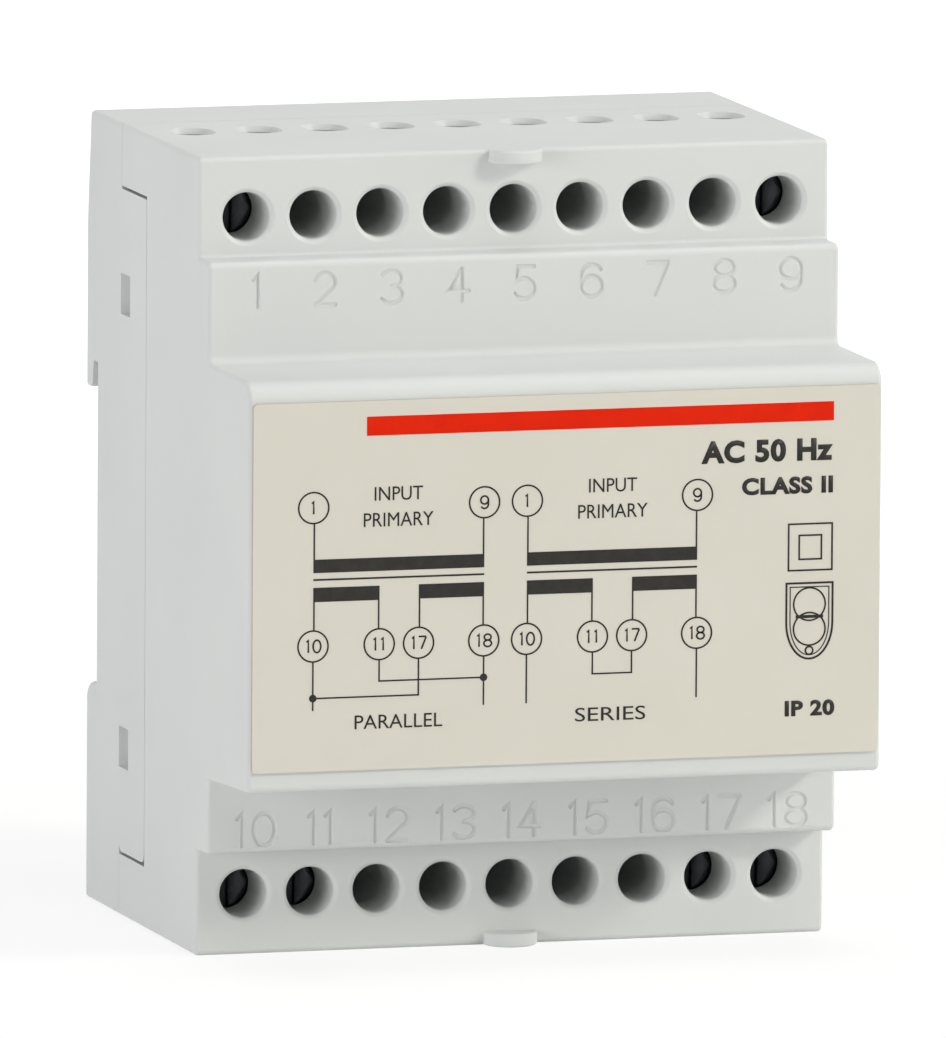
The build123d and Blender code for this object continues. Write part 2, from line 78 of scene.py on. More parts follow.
class Flow:  # one socket, so that shader maths reads as plain sums
    def __init__(self, finish, socket):
        self.finish = finish
        self.socket = socket

    def math(self, operation, first, second):
        return self.finish.node("Math", {"operation": operation}, {0: first, 1: second})

    def __add__(self, other):
        return self.math("ADD", self, other)

    def __radd__(self, other):
        return self.math("ADD", other, self)

    def __sub__(self, other):
        return self.math("SUBTRACT", self, other)

    def __rsub__(self, other):
        return self.math("SUBTRACT", other, self)

    def __mul__(self, other):
        return self.math("MULTIPLY", self, other)

    def __rmul__(self, other):
        return self.math("MULTIPLY", other, self)

    def __pow__(self, other):
        return self.math("POWER", self, other)

    def __rpow__(self, other):
        return self.math("POWER", other, self)


class Finish:  # the node tree of one material or of the world
    def __init__(self, owner):
        self.owner = owner
        owner.use_nodes = True
        self.tree = owner.node_tree
        self.tree.nodes.clear()

    def node(self, kind, settings, sockets, output=0):
        made = self.tree.nodes.new("ShaderNode" + kind)
        for key, value in settings.items():
            if key == "stops":
                ramp = made.color_ramp.elements
                for index, (place, colour) in enumerate(value):
                    stop = ramp[index] if index < 2 else ramp.new(place)
                    stop.position = place
                    stop.color = colour
            else:
                setattr(made, key, value)
        for key, value in sockets.items():
            if isinstance(value, Flow):
                self.tree.links.new(value.socket, made.inputs[key])
            else:
                made.inputs[key].default_value = value
        return Flow(self, made.outputs[output]) if made.outputs else None

    def place(self):
        return self.node("TexCoord", {}, {}, "Object")

    def axis(self, name):
        return self.node("SeparateXYZ", {}, {0: self.place()}, name)

    def stretched(self, scale):
        return self.node("VectorMath", {"operation": "MULTIPLY"}, {0: self.place(), 1: scale})

    def noise(self, size, detail, vector=None):
        sockets = {"Vector": vector or self.place(), "Scale": 1 / size, "Detail": detail}
        return self.node("TexNoise", {}, sockets)

    def ramp(self, factor, *stops):
        return self.node("ValToRGB", {"stops": stops}, {0: factor})

    def between(self, factor, low, high):
        return self.node("Mix", {"data_type": "RGBA"}, {0: factor, 6: low, 7: high}, 2)

    def bump(self, height, depth, strength):
        return self.node("Bump", {}, {"Height": height, "Distance": depth, "Strength": strength})

    def surface(self, sockets):
        shader = self.node("BsdfPrincipled", {}, sockets)
        self.node("OutputMaterial", {}, {"Surface": shader})
        return self.owner


def newFinish(name):
    return Finish(bpy.data.materials.new(name))


# Traits of each kind of finish: noise detail, how far the roughness wanders, how flat the bumps are
mouldTraits = {"cloudDetail": 2, "grainDetail": 3, "cloudRough": 0.10, "grainRough": 0.06, "flatness": 8}
filmTraits = {"cloudDetail": 3, "grainDetail": 4, "grainRough": 0.08, "flatness": 10, "edgeFacing": -0.5}
inkTraits = {
    "cloudDetail": 3, "grainDetail": 2, "cloudShare": 0.6, "grainShare": 0.4,
    "thinFrom": 0.42, "thinTo": 0.68, "grainRough": 0.10, "flatness": 10,
}
plateTraits = {"cloudDetail": 3, "lineDetail": 3, "cloudRough": 0.14, "lineRough": 0.08, "flatness": 6}
turnTraits = {"cloudDetail": 3, "cloudRough": 0.15, "flatness": 8}
layerTraits = {"cloudDetail": 2, "cloudRough": 0.12, "flatness": 5}


def mouldedPlastic(name, look):
    traits = mouldTraits
    paint = newFinish(name)
    cloud = paint.noise(look["cloud"], traits["cloudDetail"])
    grain = paint.noise(look["grain"], traits["grainDetail"])
    return paint.surface({
        "Base Color": paint.between(cloud, look["colour"], look["shade"]),
        "Roughness": look["rough"] + traits["cloudRough"] * cloud + traits["grainRough"] * grain,
        "Specular IOR Level": look["gloss"],
        "Normal": paint.bump(grain, look["grain"] / traits["flatness"], look["bump"]),
    })


def labelFilm(name, look):
    traits = filmTraits
    paint = newFinish(name)
    cloud = paint.noise(look["cloud"], traits["cloudDetail"])
    weave = paint.noise(look["grain"], traits["grainDetail"])
    sheet = paint.between(cloud, look["colour"], look["shade"])
    # The side faces get a darker grey-brown: the film's cut edge, with painted shade along it
    facing = paint.node("SeparateXYZ", {}, {0: paint.node("NewGeometry", {}, {}, "Normal")}, "Y")
    cutEdgeShade = paint.node("Math", {"operation": "GREATER_THAN"}, {0: facing, 1: traits["edgeFacing"]})
    return paint.surface({
        "Base Color": paint.between(cutEdgeShade, sheet, look["edge"]),
        "Roughness": look["rough"] + traits["grainRough"] * weave,
        "Specular IOR Level": look["gloss"],
        "Normal": paint.bump(weave, look["grain"] / traits["flatness"], look["bump"]),
    })


def printedInk(name, look):
    traits = inkTraits
    paint = newFinish(name)
    cloud = paint.noise(look["cloud"], traits["cloudDetail"])
    speck = paint.noise(look["grain"], traits["grainDetail"])
    cover = cloud * traits["cloudShare"] + speck * traits["grainShare"]
    thin = paint.ramp(cover, (traits["thinFrom"], (0, 0, 0, 1)), (traits["thinTo"], (1, 1, 1, 1)))
    return paint.surface({
        "Base Color": paint.between(thin, look["colour"], look["shade"]),
        "Roughness": look["rough"] + traits["grainRough"] * speck,
        "Specular IOR Level": look["gloss"],
        "Normal": paint.bump(speck, look["grain"] / traits["flatness"], look["bump"]),
    })


def platedMetal(name, look):  # rolled and plated sheet, with a faint drawn line
    traits = plateTraits
    paint = newFinish(name)
    cloud = paint.noise(look["cloud"], traits["cloudDetail"])
    drawn = paint.noise(look["line"], traits["lineDetail"], paint.stretched(look["stretch"]))
    return paint.surface({
        "Base Color": paint.between(cloud, look["colour"], look["shade"]),
        "Metallic": 1.0,
        "Roughness": look["rough"] + traits["cloudRough"] * cloud + traits["lineRough"] * drawn,
        "Normal": paint.bump(drawn, look["line"] / traits["flatness"], look["bump"]),
    })


def turnedMetal(name, look):  # rings of a turned head, round each screw's own axis
    traits = turnTraits
    paint = newFinish(name)
    half = look["pitch"] / 2
    across = paint.node("Math", {"operation": "WRAP"}, {0: paint.axis("X"), 1: half, 2: -half})
    level = paint.node("Math", {"operation": "ABSOLUTE"}, {0: paint.axis("Z") - look["middle"]})
    level = level - look["row"]
    radius = (across * across + level * level) ** 0.5
    rings = paint.node("Math", {"operation": "SINE"}, {0: radius * (2 * math.pi / look["ring"])})
    cloud = paint.noise(look["cloud"], traits["cloudDetail"])
    return paint.surface({
        "Base Color": paint.between(cloud, look["colour"], look["shade"]),
        "Metallic": 1.0,
        "Roughness": look["rough"] + traits["cloudRough"] * cloud,
        "Normal": paint.bump(rings, look["ring"] / traits["flatness"], look["bump"]),
    })


def layered(name, look):  # sheets, turns or wraps that lie beside each other along one axis
    traits = layerTraits
    paint = newFinish(name)
    wander = paint.noise(look["cloud"], traits["cloudDetail"])
    turn = paint.axis(look["axis"]) * (2 * math.pi / look["step"]) + wander * look["wander"]
    wave = paint.node("Math", {"operation": "SINE"}, {0: turn}) * 0.5 + 0.5  # from nought to one
    return paint.surface({
        # The colour follows the bump's wave, darker in each groove: painted shade between neighbouring turns,
        # sheets and wraps
        "Base Color": paint.between(wave, look["shade"], look["colour"]),
        "Metallic": look["metal"],
        "Roughness": look["rough"] + traits["cloudRough"] * wander,
        "Normal": paint.bump(wave, look["step"] / traits["flatness"], look["bump"]),
    })


coverLook = {
    "colour": tone(222, 224, 223), "shade": tone(216, 218, 218), "cloud": 18 * mm,
    "grain": 0.22 * mm, "rough": 0.38, "gloss": 0.42, "bump": 0.10,
}
# The edge tone is the label's cut edge with painted shade along it
labelLook = {
    "colour": tone(222, 218, 208), "shade": tone(216, 212, 201), "edge": tone(186, 176, 164),
    "cloud": 9 * mm, "grain": 0.16 * mm, "rough": 0.42, "gloss": 0.35, "bump": 0.06,
}
blackInkLook = {
    "colour": tone(38, 36, 33), "shade": tone(48, 46, 42), "cloud": 1.2 * mm, "grain": 0.09 * mm,
    "rough": 0.45, "gloss": 0.3, "bump": 0.08,
}
redInkLook = {
    "colour": tone(230, 38, 4), "shade": tone(222, 34, 3), "cloud": 2.5 * mm, "grain": 0.09 * mm,
    "rough": 0.50, "gloss": 0.12, "bump": 0.06,
}
latchLook = {
    "colour": tone(58, 59, 61), "shade": tone(48, 49, 51), "cloud": 6 * mm, "grain": 0.20 * mm,
    "rough": 0.40, "gloss": 0.45, "bump": 0.14,
}
carrierLook = {
    "colour": tone(198, 195, 188), "shade": tone(188, 185, 178), "cloud": 7 * mm, "grain": 0.25 * mm,
    "rough": 0.50, "gloss": 0.4, "bump": 0.14,
}
formerLook = {
    "colour": tone(236, 232, 222), "shade": tone(226, 221, 208), "cloud": 8 * mm, "grain": 0.22 * mm,
    "rough": 0.42, "gloss": 0.4, "bump": 0.10,
}
cutoutLook = {
    "colour": tone(44, 44, 47), "shade": tone(34, 34, 37), "cloud": 3 * mm, "grain": 0.15 * mm,
    "rough": 0.25, "gloss": 0.5, "bump": 0.08,
}
blackLeadLook = {
    "colour": tone(36, 36, 38), "shade": tone(28, 28, 30), "cloud": 3 * mm, "grain": 0.12 * mm,
    "rough": 0.32, "gloss": 0.5, "bump": 0.08,
}
redLeadLook = {
    "colour": tone(178, 36, 28), "shade": tone(160, 28, 22), "cloud": 3 * mm, "grain": 0.12 * mm,
    "rough": 0.32, "gloss": 0.5, "bump": 0.08,
}
# The steel tone is dark plating, kept darker still to paint in the shade deep in the driver holes
screwLook = {
    "colour": tone(84, 87, 90), "shade": tone(66, 69, 72), "cloud": 1.5 * mm, "ring": 0.24 * mm,
    "rough": 0.42, "bump": 0.25,
}
cageLook = {
    "colour": tone(208, 204, 190), "shade": tone(188, 186, 178), "cloud": 2 * mm, "line": 0.5 * mm,
    "stretch": (6, 1, 6), "rough": 0.28, "bump": 0.12,
}
barLook = {
    "colour": tone(222, 221, 216), "shade": tone(204, 204, 200), "cloud": 2 * mm, "line": 0.6 * mm,
    "stretch": (6, 1, 1), "rough": 0.30, "bump": 0.10,
}
springLook = {
    "colour": tone(196, 196, 194), "shade": tone(172, 173, 174), "cloud": 1.5 * mm, "line": 0.4 * mm,
    "stretch": (1, 6, 1), "rough": 0.26, "bump": 0.12,
}
coreLook = {
    "colour": tone(128, 129, 132), "shade": tone(74, 74, 76), "cloud": 4 * mm, "axis": "Y",
    "step": 0.5 * mm, "wander": 0.8, "metal": 1.0, "rough": 0.40, "bump": 0.5,
}
copperLook = {
    "colour": tone(206, 128, 78), "shade": tone(132, 66, 36), "cloud": 3 * mm, "axis": "Z",
    "step": 0.42 * mm, "wander": 1.2, "metal": 1.0, "rough": 0.26, "bump": 0.8,
}
tapeLook = {
    "colour": tone(232, 204, 92), "shade": tone(222, 190, 74), "cloud": 5 * mm, "axis": "Z",
    "step": 6.5 * mm, "wander": 1.0, "metal": 0.0, "rough": 0.22, "bump": 0.05,
}

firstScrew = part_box("terminal_screw_1")
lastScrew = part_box("terminal_screw_9")
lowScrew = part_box("terminal_screw_10")
screwRow = (firstScrew[0] + firstScrew[1]) / 2
lowRow = (lowScrew[0] + lowScrew[1]) / 2
columns = 9
pitch = (lastScrew[0].x - firstScrew[0].x) / (columns - 1)
holeNumbers = range(1, 2 * columns + 1)
terminals = [number for number in holeNumbers if "terminal_screw_%d" % number in nodes]
screwLook["pitch"] = pitch
screwLook["middle"] = (screwRow.z + lowRow.z) / 2
screwLook["row"] = (screwRow.z - lowRow.z) / 2

coverPlastic = mouldedPlastic("coverPlastic", coverLook)
blackInk = printedInk("blackInk", blackInkLook)
redInk = printedInk("redInk", redInkLook)
springSteel = platedMetal("springSteel", springLook)
finishOfSlot = {
    "cover_plastic": coverPlastic,
    "base_plastic": coverPlastic,
    "label_sheet": labelFilm("labelFilm", labelLook),
    "latch_plastic": mouldedPlastic("latchPlastic", latchLook),
    "spring_steel": springSteel,
    "carrier_plastic": mouldedPlastic("carrierPlastic", carrierLook),
    "core_steel": layered("coreSheets", coreLook),
    "former_plastic": mouldedPlastic("formerPlastic", formerLook),
    "copper_wire": layered("copperTurns", copperLook),
    "coil_tape": layered("coilTape", tapeLook),
    "cutout_case": mouldedPlastic("cutoutCase", cutoutLook),
    "plated_screw": turnedMetal("turnedScrew", screwLook),
    "plated_cage": platedMetal("cagePlate", cageLook),
    "tinned_bar": platedMetal("tinnedBar", barLook),
    "primary_lead": mouldedPlastic("blackLead", blackLeadLook),
    "secondary_lead": mouldedPlastic("redLead", redLeadLook),
}
for row in frame["record"]["subparts"]:
    node = nodes[row["node"]]
    node.data.materials.clear()
    node.data.materials.append(finishOfSlot[row["material_slot"]])
print("finishes given to", len(nodes), "nodes")


def addPiece(name, shape, finish, body):
    bmesh.ops.recalc_face_normals(shape, faces=shape.faces)
    mesh = bpy.data.meshes.new(name)
    shape.to_mesh(mesh)
    shape.free()
    mesh.materials.append(finish)
    piece = bpy.data.objects.new(name, mesh)
    scene.collection.objects.link(piece)
    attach(piece, body)
    return piece


def columnX(number):  # the middle of a hole's column
    return screwRow.x + (number - 1) % columns * pitch


mitreLimit = 0.6  # keeps a sharp bend from growing a spike


def sideways(points, closed):  # the mitred side direction at each point of a flat line
    count = len(points)
    sides = []
    for index, point in enumerate(points):
        before = points[index - 1] if closed or index > 0 else point
        after = points[(index + 1) % count] if closed or index < count - 1 else point
        arriving = Vector((point[0] - before[0], point[1] - before[1]))
        leaving = Vector((after[0] - point[0], after[1] - point[1]))
        arriving = (arriving if arriving.length else leaving).normalized()
        leaving = (leaving if leaving.length else arriving).normalized()
        along = (arriving + leaving).normalized()
        reach = 1 / max(mitreLimit, along.dot(leaving))
        sides.append(Vector((-along.y, along.x)) * reach)
    return sides


def bridge(shape, rings, closed):  # skin between rings of points, with flat ends
    loops = [[shape.verts.new(point) for point in ring] for ring in rings]
    pairs = list(zip(loops, loops[1:] + loops[:1])) if closed else list(zip(loops, loops[1:]))
    for near, far in pairs:
        for index in range(len(near)):
            after = (index + 1) % len(near)
            shape.faces.new((near[index], near[after], far[after], far[index]))
    if not closed:
        shape.faces.new(loops[0])
        shape.faces.new(reversed(loops[-1]))


def arc(centre, radii, start, end, steps):
    turns = [math.radians(start + (end - start) * step / steps) for step in range(steps + 1)]
    return [(centre[0] + radii[0] * math.cos(t), centre[1] + radii[1] * math.sin(t)) for t in turns]


# Strokes of each numeral in a cell one unit wide and one high
closeEnough = 1e-9
bendSteps = 14
ovalSteps = 28
numerals = {
    "0": [arc((0.5, 0.5), (0.5, 0.5), 90, 450, ovalSteps)],
    "1": [[(0.26, 0.85), (0.5, 1), (0.5, 0)]],
    "2": [arc((0.5, 0.70), (0.48, 0.30), 165, -28, bendSteps) + [(0.02, 0)], [(0.06, 0), (1, 0)]],
    "3": [
        arc((0.48, 0.755), (0.48, 0.245), 150, -90, bendSteps),
        arc((0.48, 0.26), (0.52, 0.26), 88, -150, bendSteps),
    ],
    "4": [[(0.66, 1), (0, 0.30), (1, 0.30)], [(0.68, 0.98), (0.68, 0)]],
    "5": [[(0.92, 1), (0.16, 1), (0.08, 0.55)] + arc((0.46, 0.32), (0.50, 0.32), 125, -150, bendSteps)],
    "6": [
        arc((0.5, 0.32), (0.5, 0.32), 90, 450, ovalSteps),
        [(0, 0.30)] + arc((0.5, 0.66), (0.5, 0.34), 180, 32, bendSteps),
    ],
    "7": [[(0, 1), (0.98, 1)], [(0.98, 0.98), (0.36, 0)]],
    "8": [
        arc((0.5, 0.76), (0.45, 0.24), 90, 450, ovalSteps),
        arc((0.5, 0.26), (0.5, 0.26), 90, 450, ovalSteps),
    ],
    "9": [
        arc((0.5, 0.68), (0.5, 0.32), 90, 450, ovalSteps),
        [(1, 0.70)] + arc((0.5, 0.34), (0.5, 0.34), 0, -148, bendSteps),
    ],
}
numberLook = {
    "faceY": -15.9 * mm, "tall": 3.5 * mm, "wide": 2.38 * mm, "upperFoot": 71.15 * mm,
    "lowerFoot": 12.5 * mm, "half": 0.26 * mm, "depth": 0.22 * mm, "lift": 0.08 * mm,
    "tensShift": -1.45 * mm, "unitsShift": 1.0 * mm, "closer": 0.55 * mm, "profile": 6,
    "endLeans": (0.5, 0.85),
}


def groove(shape, line, look):  # a round-bottomed cutter along one stroke
    closed = (Vector(line[0]) - Vector(line[-1])).length < closeEnough
    points = line[:-1] if closed else line
    sides = sideways(points, closed)
    steps = look["profile"]
    angles = [math.pi * step / steps for step in range(steps + 1)]

    def ring(point, side, share):
        ends = [(1, -look["lift"])] + [(math.cos(a), look["depth"] * share * math.sin(a)) for a in angles]
        ends.append((-1, -look["lift"]))
        across = side * look["half"] * share
        return [(point[0] + across.x * s, look["faceY"] + y, point[1] + across.y * s) for s, y in ends]

    rings = [ring(point, side, 1) for point, side in zip(points, sides)]
    if not closed:
        for end, order in ((0, 1), (-1, -1)):
            side = sides[end]
            outward = Vector((-side.y, side.x)) * order
            for lean in look["endLeans"]:
                share = math.sqrt(1 - lean * lean)
                reach = look["half"] * lean
                tip = (points[end][0] + outward.x * reach, points[end][1] + outward.y * reach)
                if order > 0:
                    rings.insert(0, ring(tip, side, share))
                else:
                    rings.append(ring(tip, side, share))
    bridge(shape, rings, closed)


def strokesOf(number, middle, foot, look):  # the number's lines, centred over its terminal
    digits = str(number)
    tens = look["tensShift"] + (look["closer"] if digits == "11" else 0)
    shifts = [0] if len(digits) == 1 else [tens, look["unitsShift"]]
    lines = []
    for digit, shift in zip(digits, shifts):
        left = middle + shift - look["wide"] / 2
        for stroke in numerals[digit]:
            lines.append([(left + x * look["wide"], foot + z * look["tall"]) for x, z in stroke])
    return lines


def numberCutter(look):
    cutter = bmesh.new()
    for number in holeNumbers:
        foot = look["upperFoot"] if number <= columns else look["lowerFoot"]
        for line in strokesOf(number, columnX(number), foot, look):
            groove(cutter, line, look)
    bmesh.ops.recalc_face_normals(cutter, faces=cutter.faces)
    mesh = bpy.data.meshes.new("numberCutter")
    cutter.to_mesh(mesh)
    cutter.free()
    helper = bpy.data.objects.new("numberCutter", mesh)
    scene.collection.objects.link(helper)
    return helper


def settled(piece):  # the mesh that the modifiers give
    bpy.context.view_layer.update()
    mesh = bpy.data.meshes.new_from_object(piece.evaluated_get(bpy.context.evaluated_depsgraph_get()))
    piece.modifiers.clear()
    return mesh


weldGap = 0.0005 * mm
creaseAngles = {"flat": 0.2, "cover": 32, "screw": 30, "round": 40}  # in degrees


def joinFlats(piece):  # one face for each flat stretch
    shape = bmesh.new()
    shape.from_mesh(piece.data)
    limit = math.radians(creaseAngles["flat"])
    bmesh.ops.dissolve_limit(shape, angle_limit=limit, verts=shape.verts, edges=shape.edges)
    shape.to_mesh(piece.data)
    shape.free()


mouthLook = {
    "faceY": -11.7 * mm, "bore": 2.65 * mm, "chamfer": 0.2 * mm, "wider": 0.45 * mm, "near": 0.03 * mm,
    "roundShare": 0.3, "roundSteps": 2, "entryY": 10.5 * mm, "entryRadius": 2.45 * mm,
    "entryHalf": 0.75 * mm, "wall": 2 * mm, "funnelIn": 0.42 * mm, "funnelDeep": 0.6 * mm,
    "cutGap": 0.0001 * mm,
}


def softenRims(shape, look):  # driver holes with a wider mouth
    near = look["near"]
    rings = []
    for column in range(columns):
        middle = screwRow.x + column * pitch
        for row in (screwRow.z, lowRow.z):
            outer, inner = set(), set()
            for spot in shape.verts:
                across = Vector((spot.co.x - middle, spot.co.z - row))
                back = spot.co.y - look["faceY"]
                if abs(back) < near and abs(across.length - look["bore"] - look["chamfer"]) < near:
                    across *= (look["bore"] + look["wider"]) / across.length
                    spot.co.x, spot.co.z = middle + across.x, row + across.y
                    outer.add(spot)
                elif abs(back - look["chamfer"]) < near and abs(across.length - look["bore"]) < near:
                    spot.co.y = look["faceY"] + look["wider"]
                    inner.add(spot)
            rings += [outer, inner]
    edges = [edge for edge in shape.edges if any(set(edge.verts) <= ring for ring in rings)]
    bmesh.ops.bevel(
        shape, geom=edges, offset=look["wider"] * look["roundShare"], offset_type="OFFSET",
        segments=look["roundSteps"], profile=0.5, affect="EDGES",
    )
    print("driver hole edges softened:", len(edges))


def fromEntry(spot, look):  # the way from the middle line of the nearest wire entry
    column = min(columns - 1, max(0, round((spot.co.x - screwRow.x) / pitch)))
    along = max(-look["entryHalf"], min(look["entryHalf"], spot.co.y - look["entryY"]))
    return Vector((spot.co.x - screwRow.x - column * pitch, spot.co.y - look["entryY"] - along))


def funnelEntries(shape, look):  # wire entries that narrow inwards from the end wall
    near = look["near"]
    for edgeZ, inward in ((cadBox[0].z, 1), (cadBox[1].z, -1)):

        def onWall(spot):
            deep = (spot.co.z - edgeZ) * inward
            outline = abs(fromEntry(spot, look).length - look["entryRadius"])
            return -near < deep < look["wall"] + near and outline < near

        walls = [face for face in shape.faces if all(onWall(spot) for spot in face.verts)]
        edges = {edge for face in walls for edge in face.edges}
        spots = {spot for face in walls for spot in face.verts}
        level = (0, 0, edgeZ + inward * look["funnelDeep"])
        parts = walls + list(edges) + list(spots)
        bmesh.ops.bisect_plane(shape, geom=parts, dist=look["cutGap"], plane_co=level, plane_no=(0, 0, 1))
        for spot in [spot for spot in shape.verts if onWall(spot) and abs(spot.co.z - edgeZ) > near]:
            across = fromEntry(spot, look)
            across *= look["funnelIn"] / across.length
            spot.co.x -= across.x
            spot.co.y -= across.y
        print("wire entry walls funnelled:", len(walls))


def shapeMouths(piece, look):
    shape = bmesh.new()
    shape.from_mesh(piece.data)
    softenRims(shape, look)
    funnelEntries(shape, look)
    shape.to_mesh(piece.data)
    shape.free()


def smoothShade(piece, sharpAngle):
    piece.data.shade_smooth()
    piece.data.set_sharp_from_angle(angle=math.radians(sharpAngle))


def evenNormals(piece, sharpAngle):  # flat faces stay flat beside their rounded edges
    smoothShade(piece, sharpAngle)
    even = piece.modifiers.new("even", "WEIGHTED_NORMAL")
    even.keep_sharp = True
    piece.data = settled(piece)


def cutCover(look):  # the cover with its terminal numbers sunk into the two strips
    shape = bmesh.new()
    shape.from_mesh(nodes["front_cover"].data)
    bmesh.ops.remove_doubles(shape, verts=shape.verts, dist=weldGap)
    cover = addPiece("numberedCover", shape, coverPlastic, "housing")
    helper = numberCutter(look)
    cut = cover.modifiers.new("numbers", "BOOLEAN")
    cut.operation = "DIFFERENCE"
    cut.solver = "EXACT"
    cut.use_self = True
    cut.object = helper
    cover.data = settled(cover)
    bpy.data.objects.remove(helper)
    joinFlats(cover)
    shapeMouths(cover, mouthLook)
    evenNormals(cover, creaseAngles["cover"])
    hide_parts("front_cover")
    return cover


cover = cutCover(numberLook)
print("numbers cut,", len(cover.data.polygons), "faces in the cover")

# Blind cups on the sleeves of the driver holes that have no screw
cupLook = {"bore": 3.0 * mm, "wall": 0.2 * mm, "frontY": -4.05 * mm, "backY": 6.9 * mm, "steps": 64}


def addCups(look):
    shape = bmesh.new()
    outer = look["bore"] + look["wall"]
    for number in holeNumbers:
        if number in terminals:
            continue
        middle = (columnX(number), screwRow.z if number <= columns else lowRow.z)
        rings = []
        for radius, y in (
            (look["bore"], look["backY"] - look["wall"]), (look["bore"], look["frontY"]),
            (outer, look["frontY"]), (outer, look["backY"]),
        ):
            outline = arc(middle, (radius, radius), 0, 360, look["steps"])[:-1]
            rings.append([(x, y, z) for x, z in outline])
        bridge(shape, rings, False)
    cups = addPiece("blindCups", shape, coverPlastic, "housing")
    smoothShade(cups, creaseAngles["round"])


addCups(cupLook)
print("empty driver holes closed")

# Terminal screws with their thread, right-handed from the head to the tip
threadLook = {
    "pitch": 0.7 * mm, "crest": 2.0 * mm, "deep": 0.4 * mm, "head": 2.4 * mm, "neck": 0.4 * mm,
    "fade": 0.4 * mm, "tip": 0.4 * mm, "flankFrom": 0.9, "flankWide": 0.75, "around": 32, "rows": 8,
    "near": 0.02 * mm,
}


def clamped(value):
    return min(1, max(0, value))


def threadRings(axis, start, end, look):
    count = math.ceil((end - start) / look["pitch"] * look["rows"])
    rings = []
    for row in range(count + 1):
        y = start + (end - start) * row / count
        fade = clamped((y - start - look["neck"]) / look["fade"])
        widest = look["crest"] - max(0, look["tip"] - (end - y))
        ring = []
        for step in range(look["around"]):
            share = step / look["around"]
            slope = abs(2 * ((y / look["pitch"] - share) % 1) - 1)  # one at a crest, nought in a valley
            valley = clamped((look["flankFrom"] - slope) / look["flankWide"])
            radius = min(widest, look["crest"] - look["deep"] * valley * fade)
            turn = 2 * math.pi * share
            ring.append((axis.x + radius * math.sin(turn), y, axis.z + radius * math.cos(turn)))
        rings.append(ring)
    return rings


def cutThread(number, look):
    node = nodes["terminal_screw_%d" % number]
    low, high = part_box(node.name)
    axis = (low + high) / 2
    neck = low.y + look["head"]
    shape = bmesh.new()
    shape.from_mesh(node.data)
    shape.transform(node.matrix_world)

    def onShank(spot):
        across = Vector((spot.co.x - axis.x, spot.co.z - axis.z)).length
        return across < look["crest"] + look["near"] and spot.co.y > neck - look["near"]

    shank = [face for face in shape.faces if all(onShank(spot) for spot in face.verts)]
    bmesh.ops.delete(shape, geom=shank, context="FACES")
    bmesh.ops.remove_doubles(shape, verts=shape.verts, dist=weldGap)
    bridge(shape, threadRings(axis, neck, high.y, look), False)
    steel = finishOfSlot["plated_screw"]
    screw = addPiece("threadedScrew%d" % number, shape, steel, "screw_%d" % number)
    evenNormals(screw, creaseAngles["screw"])
    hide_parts(node.name)


for terminal in terminals:
    cutThread(terminal, threadLook)
print("threads cut on", len(terminals), "screws")

# Print on the label: x and z in millimetres from the frame's origin
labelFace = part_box("front_label")[0].y
inkLook = {"thick": 0.03 * mm, "lift": 0.004 * mm, "ringSteps": 48, "dotSteps": 20, "dotLayer": 2}
wordLook = {"steps": 4, "spacing": 2, "weld": 0.001 * mm}
schemeLook = {
    "places": {"side by side": -28.4, "end to end": -4.5},
    "columns": {1: 0, 9: 19.1, 10: 0, 11: 7.4, 17: 11.8, 18: 19.1},
    "thin": 0.17, "ring": 0.18, "ringRadius": 1.68, "primaryZ": (44.45, 45.9), "coreZ": 43.7,
    "coreWide": 0.2, "secondaryZ": (41.3, 42.85), "topZ": 51.5, "lowZ": 36.5, "dot": 0.42, "tailZ": 29.5,
    "outerLinkZ": 32.5, "innerLinkZ": 30.85, "seriesLinkZ": 32.45, "tall": 1.35, "wide": 0.85,
    "tensShift": -0.52, "unitsShift": 0.44, "closer": 0.1, "stroke": 0.19,
}
signLook = {
    "squares": ((24.9, 29.8, 42.9, 47.95), (26.1, 28.6, 44.1, 46.7)), "squareLine": 0.19, "middle": 27.3,
    "shieldTop": 41.5, "shieldHalf": 2.6, "shieldBend": 37.2, "shieldDrop": 3.95, "shieldSteps": 24,
    "shieldLines": ((0, 0.22), (0.42, 0.12)), "line": 0.18, "linkedZ": (39.2, 36.5), "linkedRadius": 1.78,
    "core": ((25.75, 37.85), (28.85, 37.85)), "coreWide": 0.34, "coreLayer": 2,
    "eyeZ": 34.15, "eyeRadius": 0.42, "eyeLayer": 3,
}
stripeBox = (-22.5, 29.9, 59.12, 61.2)
captions = [  # words, left, right, foot and head of their place, thickening
    ("INPUT", -21.6, -16.2, 52.05, 53.55, 0),
    ("PRIMARY", -22.8, -15.0, 49.25, 50.75, 0),
    ("INPUT", 2.4, 7.8, 52.15, 53.65, 0),
    ("PRIMARY", 1.2, 9.0, 49.35, 50.85, 0),
    ("PARALLEL", -23.7, -13.9, 27.35, 28.85, 0),
    ("SERIES", 1.0, 8.9, 27.3, 28.8, 0),
    ("AC 50 Hz", 15.0, 29.8, 54.8, 57.3, 0.045),
    ("CLASS II", 19.6, 29.85, 51.25, 53.15, 0.045),
    ("IP 20", 24.6, 30.2, 27.0, 28.75, 0.045),
]


def inkFront(layer):  # a higher layer lies over the strips it crosses
    return labelFace - inkLook["thick"] - layer * inkLook["lift"]


def inkStrip(shape, line, wide, closed=False, layer=0):
    sides = sideways(line, closed)
    front = inkFront(layer)
    rings = []
    for (x, z), side in zip(line, sides):
        left = (x + side.x * wide / 2, z + side.y * wide / 2)
        right = (x - side.x * wide / 2, z - side.y * wide / 2)
        corners = [(left, labelFace), (left, front), (right, front), (right, labelFace)]
        rings.append([(spot[0] * mm, y, spot[1] * mm) for spot, y in corners])
    bridge(shape, rings, closed)


